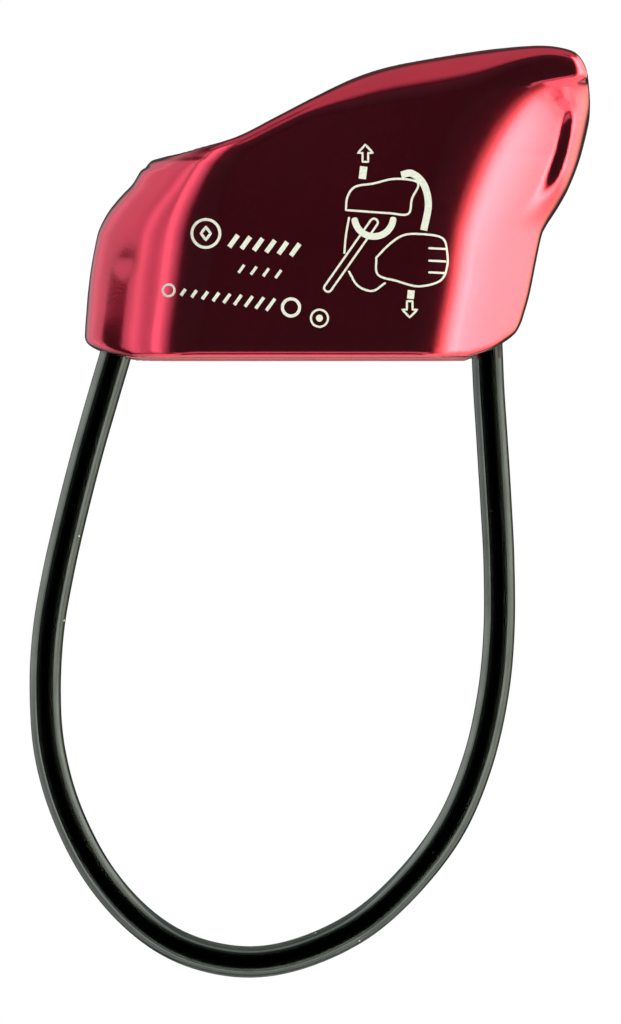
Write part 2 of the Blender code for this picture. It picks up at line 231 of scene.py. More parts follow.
def groove_shape(x, y, z):
    """The two braking grooves through the nose: they widen upwards and narrow outwards."""
    crest = 18.9 - (x - 29.0) ** 2 / 12.0
    rise = np.maximum(z - crest, 0.0)
    half_width = np.minimum(0.35 + 0.36 * rise, 2.2) - 0.055 * np.maximum(x - 27.0, 0.0)
    middle = 4.55 - 0.035 * np.maximum(x - 27.0, 0.0)
    sideways = np.abs(y - middle) - half_width
    below = np.hypot(np.maximum(sideways, 0.0), crest - z) - 0.2
    channel = np.where(z < crest, below, sideways * 0.94)
    return np.maximum(channel, 22.0 - x)


def bore_shape(x, y, z, mouth_x, lean):
    """A stepped bore: wide enough for the coated cable, then only for the wire."""
    across = (x - mouth_x) * math.cos(lean) - z * math.sin(lean)
    along = (x - mouth_x) * math.sin(lean) + z * math.cos(lean)
    distance = np.hypot(across, y)
    wide = np.maximum(distance - 2.4, along - 7.6)
    narrow = np.maximum(distance - 1.6, along - 16.0)
    return np.minimum(wide, narrow)


LEFT_MOUTH, RIGHT_MOUTH = -24.2, 24.4
LEFT_LEAN, RIGHT_LEAN = math.radians(15.0), math.radians(-2.5)


def body_field(points):
    """Below zero inside the body."""
    x, z = points[..., 0], points[..., 2]
    y = np.abs(points[..., 1])
    shape = both(outside_shape(x, y, z), inside_shape(x, y, z), EDGE_ROUNDING)
    shape = both(shape, -groove_shape(x, y, z), 0.8)
    shape = both(shape, -bore_shape(x, y, z, LEFT_MOUTH, LEFT_LEAN), 0.35)
    return both(shape, -bore_shape(x, y, z, RIGHT_MOUTH, RIGHT_LEAN), 0.35)


# ---------------------------------------------------------------- from a field to a mesh

def grid_values(field, axes):
    """The field at each grid point, one slab at a time."""
    slabs = []
    for x in axes[0]:
        slab = np.stack(np.meshgrid([x], axes[1], axes[2], indexing="ij"), axis=-1)
        slabs.append(field(slab)[0])
    return np.array(slabs)


def window(array, starts, size):
    return array[tuple(slice(start, start + length) for start, length in zip(starts, size))]


def surface_net(field, low, high, step):
    """Vertices and quads of the surface where the field is zero: one vertex in each cell that it crosses."""
    axes = [np.arange(a, b + step, step) for a, b in zip(low, high)]
    values = grid_values(field, axes)
    cells = tuple(length - 1 for length in values.shape)
    total = np.zeros(cells + (3,))
    crossings = np.zeros(cells)
    for axis in range(3):
        others = [k for k in range(3) if k != axis]
        for first in (0, 1):
            for second in (0, 1):
                start = [0, 0, 0]
                start[others[0]], start[others[1]] = first, second
                end = list(start)
                end[axis] = 1
                near, far = window(values, start, cells), window(values, end, cells)
                crossed = (near < 0.0) != (far < 0.0)
                share = np.where(crossed, near / np.where(crossed, near - far, 1.0), 0.0)
                for k in range(3):
                    total[..., k] += np.where(crossed, start[k], 0.0)
                total[..., axis] += share
                crossings += crossed
    used = crossings > 0
    corner = np.stack(np.meshgrid(*(axis[:-1] for axis in axes), indexing="ij"), axis=-1)
    vertices = corner[used] + total[used] / crossings[used][:, None] * step
    number = np.full(cells, -1)
    number[used] = np.arange(len(vertices))

    quads = []
    inner = tuple(length - 1 for length in cells)
    for axis in range(3):
        b, c = [k for k in range(3) if k != axis]
        if axis == 1:
            b, c = c, b
        start = [1, 1, 1]
        start[axis] = 0
        size = list(inner)
        size[axis] = cells[axis]
        end = list(start)
        end[axis] = 1
        near, far = window(values, start, size), window(values, end, size)
        around = []
        for shift_b, shift_c in ((-1, -1), (0, -1), (0, 0), (-1, 0)):
            at = list(start)
            at[b] += shift_b
            at[c] += shift_c
            around.append(window(number, at, size))
        ring = np.stack(around, axis=-1)
        leaving = (near < 0.0) & (far >= 0.0)
        entering = (near >= 0.0) & (far < 0.0)
        quads.append(ring[leaving])
        quads.append(ring[entering][:, ::-1])
    return vertices, np.vstack(quads)


def slopes(field, points, reach=0.04):
    """The field's rate of change at each point."""
    result = np.empty_like(points)
    for k in range(3):
        offset = np.zeros(3)
        offset[k] = reach
        result[:, k] = (field(points + offset) - field(points - offset)) / (2.0 * reach)
    return result


def settle(field, vertices, quads, step):
    """Evens the net out and brings every vertex onto the surface."""
    pairs = np.vstack([quads[:, [k, (k + 1) % 4]] for k in range(4)])
    count = np.bincount(pairs[:, 0], minlength=len(vertices)).astype(float)
    for round_number in range(5):
        mean = np.stack([np.bincount(pairs[:, 0], weights=vertices[pairs[:, 1], k], minlength=len(vertices))
                         for k in range(3)], axis=1) / count[:, None]
        if round_number < 3:
            vertices = vertices + 0.5 * (mean - vertices)
        for _ in range(2):
            slope = slopes(field, vertices)
            move = -(field(vertices) / np.maximum((slope ** 2).sum(axis=1), 0.05))[:, None] * slope
            vertices = vertices + np.clip(move, -0.5 * step, 0.5 * step)
    return vertices


def mesh_from(name, vertices, faces):
    mesh = bpy.data.meshes.new(name)
    mesh.from_pydata((np.asarray(vertices) * MM).tolist(), [], np.asarray(faces).tolist())
    mesh.validate()
    mesh.polygons.foreach_set("use_smooth", [True] * len(mesh.polygons))
    mesh.update()
    return mesh


def new_object(name, mesh, finish):
    item = bpy.data.objects.new(name, mesh)
    bpy.context.scene.collection.objects.link(item)
    mesh.materials.append(finish)
    return item


# ---------------------------------------------------------------- node helpers

def new_material(name):
    material = bpy.data.materials.new(name)
    material.use_nodes = True
    return material, material.node_tree.nodes["Principled BSDF"]


def add_node(material, kind, **settings):
    node = material.node_tree.nodes.new(kind)
    for key, value in settings.items():
        if key in node.inputs:
            node.inputs[key].default_value = value
        else:
            setattr(node, key, value)
    return node


def link(material, source, target):
    material.node_tree.links.new(source, target)


def noise(material, scale, detail=2.0, stretch=None):
    """Noise in the object's own metres; scale is in grains per metre."""
    place = add_node(material, "ShaderNodeTexCoord")
    texture = add_node(material, "ShaderNodeTexNoise", Scale=scale, Detail=detail)
    if stretch:
        mapping = add_node(material, "ShaderNodeMapping", Scale=stretch)
        link(material, place.outputs["Object"], mapping.inputs["Vector"])
        link(material, mapping.outputs["Vector"], texture.inputs["Vector"])
    else:
        link(material, place.outputs["Object"], texture.inputs["Vector"])
    return texture.outputs["Fac"]


def specks(material, scale, size, share):
    """Small spots: 1 on a speck, 0 elsewhere. share is how many of the cells hold one."""
    place = add_node(material, "ShaderNodeTexCoord")
    cells = add_node(material, "ShaderNodeTexVoronoi", Scale=scale)
    link(material, place.outputs["Object"], cells.inputs["Vector"])
    near = add_node(material, "ShaderNodeMath", operation="LESS_THAN")
    near.inputs[1].default_value = size
    link(material, cells.outputs["Distance"], near.inputs[0])
    split = add_node(material, "ShaderNodeSeparateColor")
    link(material, cells.outputs["Color"], split.inputs["Color"])
    chosen = add_node(material, "ShaderNodeMath", operation="LESS_THAN")
    chosen.inputs[1].default_value = share
    link(material, split.outputs["Red"], chosen.inputs[0])
    result = add_node(material, "ShaderNodeMath", operation="MULTIPLY")
    link(material, near.outputs[0], result.inputs[0])
    link(material, chosen.outputs[0], result.inputs[1])
    return result.outputs[0]


def spread(material, source, low, high, from_low=0.35, from_high=0.65):
    """Maps a texture's middle range onto low to high."""
    node = add_node(material, "ShaderNodeMapRange")
    node.inputs["From Min"].default_value = from_low
    node.inputs["From Max"].default_value = from_high
    node.inputs["To Min"].default_value = low
    node.inputs["To Max"].default_value = high
    link(material, source, node.inputs["Value"])
    return node.outputs["Result"]


def mix_colours(material, factor, first, second):
    """Blends two colours. Each is a colour or another node's output."""
    node = add_node(material, "ShaderNodeMix", data_type="RGBA")
    link(material, factor, node.inputs["Factor"])
    for socket, colour in zip((node.inputs[6], node.inputs[7]), (first, second)):
        if isinstance(colour, tuple):
            socket.default_value = (*colour, 1.0)
        else:
            link(material, colour, socket)
    return node.outputs[2]


def bump(material, shader, height, distance, strength=1.0):
    node = add_node(material, "ShaderNodeBump", Distance=distance, Strength=strength)
    link(material, height, node.inputs["Height"])
    link(material, node.outputs["Normal"], shader.inputs["Normal"])


# ---------------------------------------------------------------- materials

def anodised_material():
    """Deep red anodising on polished aluminium, with dust, fine grain and faint handling marks."""
    material, shader = new_material("anodised_red")
    shader.inputs["Metallic"].default_value = 1.0
    shader.inputs["Coat Weight"].default_value = 1.0
    shader.inputs["Coat Roughness"].default_value = 0.1
    shader.inputs["Coat IOR"].default_value = 1.65
    cloud = spread(material, noise(material, 180.0, 3.0), 0.0, 1.0)
    colour = mix_colours(material, cloud, (0.82, 0.012, 0.065), (0.76, 0.010, 0.056))
    dust = specks(material, 700.0, 0.07, 0.03)
    colour = mix_colours(material, dust, colour, (0.80, 0.14, 0.17))
    link(material, colour, shader.inputs["Base Color"])
    roughness = spread(material, noise(material, 900.0, 4.0), 0.125, 0.145)
    link(material, roughness, shader.inputs["Roughness"])
    grain = noise(material, 3000.0, 3.0, stretch=(0.6, 1.0, 1.0))
    bump(material, shader, grain, 0.000009, 0.6)
    return material


def jacket_material():
    """Black vinyl that lets a little light through to the wire under it."""
    material, shader = new_material("jacket_vinyl")
    shader.inputs["IOR"].default_value = 1.46
    shader.inputs["Specular Tint"].default_value = (0.05, 0.05, 0.05, 1.0)
    cloud = spread(material, noise(material, 240.0, 3.0), 0.0, 1.0)
    colour = mix_colours(material, cloud, (0.085, 0.094, 0.088), (0.065, 0.072, 0.067))
    scuffs = specks(material, 520.0, 0.08, 0.05)
    colour = mix_colours(material, scuffs, colour, (0.42, 0.44, 0.42))
    link(material, colour, shader.inputs["Base Color"])
    link(material, spread(material, scuffs, 1.0, 0.25, 0.0, 1.0), shader.inputs["Transmission Weight"])
    link(material, spread(material, noise(material, 1400.0, 3.0), 0.03, 0.08), shader.inputs["Roughness"])
    bump(material, shader, noise(material, 420.0, 2.0, stretch=(1.0, 1.0, 0.35)), 0.00002, 0.5)
    return material


def steel_material(name, colour, roughness, stretch):
    material, shader = new_material(name)
    shader.inputs["Metallic"].default_value = 1.0
    cloud = spread(material, noise(material, 700.0, 3.0), 0.0, 1.0)
    darker = tuple(channel * 0.7 for channel in colour)
    link(material, mix_colours(material, cloud, colour, darker), shader.inputs["Base Color"])
    lines = noise(material, 3000.0, 2.0, stretch=stretch)
    link(material, spread(material, lines, roughness * 0.7, roughness * 1.4), shader.inputs["Roughness"])
    bump(material, shader, lines, 0.00001, 0.4)
    return material


def etched_material():
    """Laser-etched marks: the bare, matt metal shows pale through the dye."""
    material, shader = new_material("etched_mark")
    shader.inputs["Metallic"].default_value = 0.0
    grains = spread(material, noise(material, 6000.0, 3.0), 0.0, 1.0)
    link(material, mix_colours(material, grains, (0.64, 0.64, 0.66), (0.50, 0.50, 0.52)),
         shader.inputs["Base Color"])
    link(material, spread(material, noise(material, 2500.0), 0.45, 0.65), shader.inputs["Roughness"])
    bump(material, shader, grains, 0.000006, 0.5)
    return material


def floor_material():
    """Pale and evenly lit from below, so that it never looks grey beside the backdrop."""
    material, shader = new_material("studio_floor")
    shader.inputs["Emission Color"].default_value = (1.0, 1.0, 1.0, 1.0)
    shader.inputs["Emission Strength"].default_value = 0.45
    cloud = spread(material, noise(material, 3.0), 0.0, 1.0)
    link(material, mix_colours(material, cloud, (0.86, 0.86, 0.86), (0.83, 0.83, 0.83)),
         shader.inputs["Base Color"])
    shader.inputs["Roughness"].default_value = 0.7
    return material


# ---------------------------------------------------------------- camera, light and floor

def make_camera():
    """Level with the middle of the whole object, straight in front of the marked face."""
    distance_m = 1.3
    picture_height = 132.1       # at the depth of the body's front edges
    picture_depth = -12.5
    centre = Vector((1.35, 0.0, -19.9))
    data = bpy.data.cameras.new("camera")
    data.sensor_width = 36.0
    data.lens = data.sensor_width * (distance_m / MM + picture_depth) / picture_height
    camera = bpy.data.objects.new("camera", data)
    camera.location = (centre.x * MM, -distance_m, centre.z * MM)
    camera.rotation_euler = (math.radians(90.0), 0.0, 0.0)
    bpy.context.scene.collection.objects.link(camera)
    bpy.context.scene.camera = camera


def grid_faces(columns, rows, facing_down=False):
    """Faces of a grid whose vertices run up each column in turn."""
    faces = [(rows * i + j, rows * (i + 1) + j, rows * (i + 1) + j + 1, rows * i + j + 1)
             for i in range(columns - 1) for j in range(rows - 1)]
    return [(a, d, c, b) for a, b, c, d in faces] if facing_down else faces


def emitter(name, vertices, faces, glow, tint=(1.0, 0.985, 0.95)):
    """A surface that gives light, hidden from the camera. glow is the radiance at each vertex."""
    mesh = bpy.data.meshes.new(name)
    mesh.from_pydata(vertices, [], faces)
    attribute = mesh.attributes.new("glow", "FLOAT", "POINT")
    attribute.data.foreach_set("value", glow)
    material, shader = new_material(name)
    shader.inputs["Base Color"].default_value = (0.0, 0.0, 0.0, 1.0)
    shader.inputs["Specular IOR Level"].default_value = 0.0
    shader.inputs["Emission Color"].default_value = (*tint, 1.0)
    strength = add_node(material, "ShaderNodeAttribute", attribute_name="glow")
    link(material, strength.outputs["Fac"], shader.inputs["Emission Strength"])
    panel = new_object(name, mesh, material)
    panel.visible_camera = False
    panel.visible_transmission = False
    return panel


def light_wall(name, radiances, low_m, high_m, tint, radius_m=1.1):
    """A curved softbox round the object. radiances are rows of azimuth in degrees and radiance."""
    table = smooth_rows(radiances, 6)
    azimuths, values = table[:, 0], np.maximum(table[:, 1], 0.0)
    heights = np.linspace(low_m, high_m, 19)
    fade = (0.45 + 0.55 * ramp(heights, -0.9, -0.2)) * (1.0 - ramp(heights, high_m - 0.45, high_m))
    vertices, glow = [], []
    for azimuth, value in zip(np.radians(azimuths), values):
        for height, share in zip(heights, fade):
            vertices.append((radius_m * math.sin(azimuth), -radius_m * math.cos(azimuth), height))
            glow.append(value * share)
    emitter(name, vertices, grid_faces(len(azimuths), len(heights)), glow, tint)


def ceiling_light(radiance, height_m=1.4, front_m=-3.0, back_m=0.5, half_width_m=2.4):
    """A soft panel overhead that fades towards its edges."""
    xs, ys = np.linspace(-half_width_m, half_width_m, 13), np.linspace(front_m, back_m, 13)
    fade_x = ramp(half_width_m - np.abs(xs), 0.0, 0.8)
    fade_y = ramp(ys, front_m, front_m + 1.3) * (1.0 - ramp(ys, back_m - 0.5, back_m))
    vertices = [(x, y, height_m) for x in xs for y in ys]
    glow = [radiance * a * b for a in fade_x for b in fade_y]
    emitter("ceiling_light", vertices, grid_faces(len(xs), len(ys), facing_down=True), glow)


def back_card(radiance, right_angle=62.0, left_angle=45.0, radius_m=3.0):
    """A white card behind the object, dimmer towards its top. It is seen only through the clear vinyl."""
    angles = np.radians(np.linspace(180.0 - right_angle, 180.0 + left_angle, 17))
    rows = [(-2.2, 1.3), (-0.18, 1.3), (0.06, 0.7), (2.2, 0.7)]
    vertices = [(radius_m * math.sin(a), -radius_m * math.cos(a), z) for a in angles for z, _ in rows]
    glow = [radiance * share * dim for share in np.linspace(0.85, 1.0, len(angles)) for _, dim in rows]
    card = emitter("back_card", vertices, grid_faces(len(angles), len(rows)), glow)
    card.visible_transmission = True
    card.visible_diffuse = False
    card.visible_glossy = False
    card.visible_shadow = False


def make_world():
    """A dim studio that brightens towards its ceiling."""
    world = bpy.data.worlds.new("studio")
    bpy.context.scene.world = world
    world.use_nodes = True
    background = world.node_tree.nodes["Background"]
    place = add_node(world, "ShaderNodeTexCoord")
    split = add_node(world, "ShaderNodeSeparateXYZ")
    link(world, place.outputs["Generated"], split.inputs["Vector"])
    link(world, spread(world, split.outputs["Z"], 0.04, 0.12, 0.1, 0.95), background.inputs["Strength"])
    background.inputs["Color"].default_value = (0.9, 1.5, 1.4, 1.0)


def flag(name, corners, albedo=0.01):
    """A black card, off camera, that darkens one reflection. Its corners are in metres."""
    mesh = bpy.data.meshes.new(name)
    mesh.from_pydata(corners, [], [tuple(range(len(corners)))])
    material, shader = new_material(name)
    shader.inputs["Base Color"].default_value = (albedo, albedo, albedo, 1.0)
    shader.inputs["Roughness"].default_value = 1.0
    card = new_object(name, mesh, material)
    card.visible_camera = False


FLOOR_HEIGHT_M = -1.4
FLOOR_RADIUS_M = 2.4
BACKDROP_RADIUS_M = 4.0


def stage_object(name, shape, material):
    """One object of the studio, from a bmesh that it frees."""
    mesh = bpy.data.meshes.new(name)
    shape.to_mesh(mesh)
    shape.free()
    return new_object(name, mesh, material)


def make_floor():
    shape = bmesh.new()
    bmesh.ops.create_circle(shape, cap_ends=True, segments=96, radius=FLOOR_RADIUS_M)
    floor = stage_object("studio_floor", shape, floor_material())
    floor.location = (0.0, 0.0, FLOOR_HEIGHT_M)


def make_backdrop():
    """White all round, seen by the camera alone."""
    shape = bmesh.new()
    bmesh.ops.create_uvsphere(shape, u_segments=48, v_segments=24, radius=BACKDROP_RADIUS_M)
    material, shader = new_material("backdrop_white")
    shader.inputs["Base Color"].default_value = (0.0, 0.0, 0.0, 1.0)
    shader.inputs["Emission Color"].default_value = (1.0, 1.0, 1.0, 1.0)
    shader.inputs["Emission Strength"].default_value = 1.0
    shader.inputs["Specular IOR Level"].default_value = 0.0
    backdrop = stage_object("backdrop", shape, material)
    for ray in ("diffuse", "glossy", "transmission", "volume_scatter", "shadow"):
        setattr(backdrop, f"visible_{ray}", False)


# The soft walls' light: azimuth in degrees from the camera's side, and radiance
RIGHT_WALL_LIGHT = [(18.0, 0.0), (26.0, 1.3), (34.0, 4.6), (44.0, 6.4), (50.0, 6.6), (63.0, 5.1), (72.0, 4.5),
                    (90.0, 3.8), (112.0, 2.6), (125.0, 1.4), (140.0, 0.0)]
LEFT_WALL_LIGHT = [(-158.0, 0.0), (-138.0, 0.6), (-124.0, 0.7), (-112.0, 0.95), (-104.0, 0.72),
                   (-88.0, 0.75), (-78.0, 0.68), (-71.0, 1.15), (-65.0, 0.75), (-59.0, 0.68), (-52.0, 1.3),
                   (-44.0, 1.4), (-34.0, 0.8), (-24.0, 0.0)]
RIGHT_WALL_TINT = (1.0, 1.05, 0.75)
LEFT_WALL_TINT = (1.0, 1.03, 1.08)
WALL_FOOT_M = -1.38

# Corners of the dark cards. The left one makes the dark streak on the smooth end, the low one the dark
# line in the foot's rounding.
LEFT_CARD_M = [(-0.36, -0.068, -0.3), (-0.36, 0.05, -0.3), (-0.36, 0.05, 0.054), (-0.36, 0.037, 0.059),
               (-0.36, 0.005, 0.062), (-0.36, -0.03, 0.064), (-0.36, -0.068, 0.066)]
LOW_CARD_M = [(-0.3, -1.15, WALL_FOOT_M), (0.2, -1.15, WALL_FOOT_M), (0.2, -0.35, WALL_FOOT_M),
              (-0.3, -0.35, WALL_FOOT_M)]


def face_glow(radiance=0.11, centre=(-0.006, -1.4, 0.095), reach_m=0.055):
    """A faint glow over the camera, which the flat face mirrors below the roof's edge."""
    steps = np.linspace(-reach_m, reach_m, 11)
    vertices = [(centre[0] + across, centre[1], centre[2] + up) for across in steps for up in steps]
    glow = [radiance * float(1.0 - ramp(math.hypot(across, up), 0.1 * reach_m, reach_m))
            for across in steps for up in steps]
    emitter("face_glow", vertices, grid_faces(len(steps), len(steps), facing_down=True), glow)


def make_lights():
    make_world()
    light_wall("light_wall_right", RIGHT_WALL_LIGHT, WALL_FOOT_M, 1.3, RIGHT_WALL_TINT)
    light_wall("light_wall_left", LEFT_WALL_LIGHT, WALL_FOOT_M, 1.4, LEFT_WALL_TINT)
    ceiling_light(0.51)
    face_glow()
    back_card(1.9)
    flag("flag_left", LEFT_CARD_M)
    flag("flag_low", LOW_CARD_M)
    bpy.context.scene.view_settings.view_transform = "Standard"


# ---------------------------------------------------------------- keeper cable

ROUTE = [                    # the cable's centre line below the body: x and height at y = 0
    (-24.2, 0.0),
    (-25.5, -4.4),
    (-27.7, -12.1),
    (-29.7, -19.9),
    (-31.5, -27.8),
    (-32.8, -35.5),
    (-33.2, -43.4),
    (-32.6, -51.2),
    (-30.4, -59.0),
    (-26.4, -66.8),
    (-21.0, -73.0),
    (-14.8, -76.9),
    (-7.3, -78.5),
    (0.0, -77.4),
    (7.8, -73.7),
    (14.3, -67.9),
    (19.6, -60.8),
    (23.1, -52.5),
    (25.1, -43.8),
    (25.9, -35.5),
    (25.9, -26.6),
    (25.5, -18.6),
    (25.0, -10.5),
    (24.6, -4.4),
    (24.4, 0.0),
]
JACKET_DIAMETER = 4.1
JACKET_INSIDE = 1.92
JACKET_TOP = 6.4             # the jacket is stripped above this height
WIRE_TOP = 17.2
STRAND_COUNT = 6
STRAND_DIAMETER = 0.6
STRAND_PITCH = 14.0


def cable_line(top):
    """The centre line from one bore to the other, starting and ending at the same height in the bores."""
    heights = [height for height in (top, top * 0.66, top * 0.33)]
    left = [(LEFT_MOUTH + h * math.tan(LEFT_LEAN), h) for h in heights]
    right = [(RIGHT_MOUTH + h * math.tan(RIGHT_LEAN), h) for h in reversed(heights)]
    return smooth_rows(left + ROUTE + right)


def even_points(line, spacing):
    """Evenly spaced points with their in-plane normals and distances along the line."""
    length = np.concatenate(([0.0], np.cumsum(np.linalg.norm(np.diff(line, axis=0), axis=1))))
    count = int(round(length[-1] / spacing)) + 1
    distance = np.linspace(0.0, length[-1], count)
    points = np.stack([np.interp(distance, length, line[:, k]) for k in (0, 1)], axis=1)
    tangent = np.gradient(points, axis=0)
    tangent /= np.linalg.norm(tangent, axis=1)[:, None]
    normal = np.stack([-tangent[:, 1], tangent[:, 0]], axis=1)
    return points, normal, distance


def sweep(points, normal, rings):
    """Vertices of rings round a planar line. Each ring is rows of (in-plane, sideways) offsets."""
    rows = []
    for (x, z), (nx, nz), ring in zip(points, normal, rings):
        rows.append(np.stack([x + ring[:, 0] * nx, ring[:, 1], z + ring[:, 0] * nz], axis=1))
    return np.array(rows)


def skin(rows, closed_line=False, flip=False):
    """Quads between consecutive rings. Rings wrap round; the line wraps only if closed_line."""
    count, sides = rows.shape[:2]
    faces = []
    for ring in range(count if closed_line else count - 1):
        following = (ring + 1) % count
        for side in range(sides):
            beside = (side + 1) % sides
            quad = [ring * sides + side, ring * sides + beside, following * sides + beside,
                    following * sides + side]
            faces.append(quad[::-1] if flip else quad)
    return faces


def circle(radius, sides, turn=0.0):
    angle = np.arange(sides) * 2.0 * math.pi / sides + turn
    return np.stack([radius * np.cos(angle), radius * np.sin(angle)], axis=1)


def outward(mesh):
    """Turns a closed mesh's faces outwards."""
    shape = bmesh.new()
    shape.from_mesh(mesh)
    bmesh.ops.recalc_face_normals(shape, faces=shape.faces)
    shape.to_mesh(mesh)
    shape.free()
    return mesh


def make_jacket(finish):
    """The coating: an outer wall, an inner wall and a softened lip at both cut ends."""
    line = cable_line(JACKET_TOP)
    points, normal, distance = even_points(line, 1.0)
    sides = 32
    outer, inner = JACKET_DIAMETER / 2.0, JACKET_INSIDE / 2.0
    random = np.random.default_rng(11)
    knots = np.arange(0.0, distance[-1] + 6.0, 6.0)
    swell = np.interp(distance, knots, random.normal(0.0, 0.012, len(knots)))
    lip = 0.25
    radii = outer + swell
    radii[0] = radii[-1] = outer - lip
    outside = sweep(points, normal, [circle(radius, sides) for radius in radii])
    inside = sweep(points[::-1], normal[::-1], [circle(inner, sides)] * len(points))
    rows = np.concatenate([outside, inside])
    mesh = outward(mesh_from("keeper_jacket", rows.reshape(-1, 3), skin(rows, closed_line=True)))
    jacket = new_object("keeper_jacket", mesh, finish)
    path = [(x * MM, 0.0, z * MM) for x, z in points]
    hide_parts("cable_jacket", "cable_end_left", "cable_end_right")
    return jacket, path, distance[-1] * MM


def make_strand(name, node, number, finish):
    """One strand of the wire rope: six fine wires twisted on each other. Number 0 is the core."""
    line = cable_line(WIRE_TOP)
    points, normal, distance = even_points(line, 0.9)
    lay = 2.0 * math.pi * distance / STRAND_PITCH
    orbit = 0.0 if number == 0 else STRAND_DIAMETER * 1.02
    phase = 2.0 * math.pi * number / STRAND_COUNT
    sides = 12
    rings = []
    for turn in lay:
        angle = np.arange(sides) * 2.0 * math.pi / sides
        lobes = 1.0 - 0.08 * (1.0 - np.abs(np.cos(3.0 * (angle + 2.6 * turn))))
        radius = STRAND_DIAMETER / 2.0 * lobes
        centre = np.array((orbit * math.cos(turn + phase), orbit * math.sin(turn + phase)))
        rings.append(centre + np.stack([radius * np.cos(angle), radius * np.sin(angle)], axis=1))
    rows = sweep(points, normal, rings)
    last = rows.shape[0] * sides
    faces = skin(rows) + [list(range(sides))[::-1], list(range(last - sides, last))]
    shape = bmesh.new()
    corners = [shape.verts.new(Vector(corner) * MM) for corner in rows.reshape(-1, 3)]
    for face in faces:
        shape.faces.new([corners[index] for index in face]).smooth = len(face) == 4
    bmesh.ops.recalc_face_normals(shape, faces=shape.faces)
    mesh = bpy.data.meshes.new(name)
    shape.to_mesh(mesh)
    shape.free()
    strand = new_object(name, mesh, finish)
    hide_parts(node)
    return strand


def make_ferrule(name, node, mouth_x, lean, finish):
    """The swaged stop above the web, with the press's rings round it."""
    inner, outer, low, length = 1.0, 2.2, 11.4, 5.0
    profile = [(inner, 0.1), (inner + 0.15, 0.0), (outer - 0.45, 0.0), (outer - 0.12, 0.1), (outer, 0.4)]
    for ring in (1.3, 2.5, 3.7):
        profile += [(outer, ring - 0.32), (outer - 0.10, ring - 0.16), (outer - 0.16, ring),
                    (outer - 0.10, ring + 0.16), (outer, ring + 0.32)]
    profile += [(outer, length - 0.4), (outer - 0.12, length - 0.1), (outer - 0.45, length),
                (inner + 0.15, length), (inner, length - 0.1)]
    sides = 48
    angle = np.arange(sides) * 2.0 * math.pi / sides
    rows = []
    for radius, height in profile:
        across = radius * np.cos(angle)
        along = low + height
        rows.append(np.stack([mouth_x + across * math.cos(lean) + along * math.sin(lean),
                              radius * np.sin(angle),
                              along * math.cos(lean) - across * math.sin(lean)], axis=1))
    rows = np.array(rows)
    mesh = outward(mesh_from(name, rows.reshape(-1, 3), skin(rows, closed_line=True)))
    ferrule = new_object(name, mesh, finish)
    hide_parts(node)
    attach(ferrule, DEVICE)


def make_cable():
    jacket, path, length_m = make_jacket(jacket_material())
    wire = steel_material("wire_steel", (0.06, 0.06, 0.06), 0.3, (1.0, 1.0, 0.2))
    strands = [make_strand("wire_core", "wire_core_strand", 0, wire)]
    for number in range(1, STRAND_COUNT + 1):
        strands.append(make_strand(f"wire_strand_{number}", f"wire_outer_strand_{number}", number, wire))
    for piece in [jacket] + strands:
        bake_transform(piece)
    ferrule = steel_material("ferrule_steel", (0.66, 0.66, 0.67), 0.28, (0.2, 0.2, 1.0))
    make_ferrule("ferrule_left", "stop_ferrule_left", LEFT_MOUTH, LEFT_LEAN, ferrule)
    make_ferrule("ferrule_right", "stop_ferrule_right", RIGHT_MOUTH, RIGHT_LEAN, ferrule)


def make_body():
    step = 0.45
    vertices, quads = surface_net(body_field, (-29.0, -19.0, -1.5), (39.0, 19.0, 41.5), step)
    vertices = settle(body_field, vertices, quads, step)
    body = new_object("body_shell", mesh_from("body_shell", vertices, quads), anodised_material())
    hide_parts("body")
    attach(body, DEVICE)


# ---------------------------------------------------------------- etched marks

ROW_TILT = math.radians(-8.0)
LEAN = math.radians(62.0)    # of the slanting bars in a row
LINE = 0.27                  # the width of a thin etched line
MARK_RISE = 0.03             # how far a mark stands out of the face


def surface_depth(x, z):
    """The y of the body's front surface at each x and height."""
    out, deep = np.full(x.shape, -18.5), np.full(x.shape, -15.8)
    for _ in range(26):
        middle = (out + deep) / 2.0
        solid = body_field(np.stack([x, middle, z], axis=-1)) < 0.0
        out, deep = np.where(solid, out, middle), np.where(solid, middle, deep)
    return (out + deep) / 2.0


def ring_line(centre, radius, sides=40):
    angle = np.arange(sides) * 2.0 * math.pi / sides
    return np.stack([centre[0] + radius * np.cos(angle), centre[1] + radius * np.sin(angle)], axis=1)


def arc_line(centre, radius, start, end, count=18):
    angle = np.radians(np.linspace(start, end, count))
    return np.stack([centre[0] + radius * np.cos(angle), centre[1] + radius * np.sin(angle)], axis=1)


def dense(points, closed, spacing=0.35):
    """Adds points along a polyline, so that a mark can follow a curved face."""
    points = np.array(points, dtype=float)
    ends = np.roll(points, -1, axis=0) if closed else points[1:]
    rows = []
    for start, end in zip(points, ends):
        count = max(1, int(math.ceil(np.linalg.norm(end - start) / spacing)))
        rows.append(start + (end - start) * (np.arange(count) / count)[:, None])
    if not closed:
        rows.append(points[-1:])
    return np.vstack(rows)


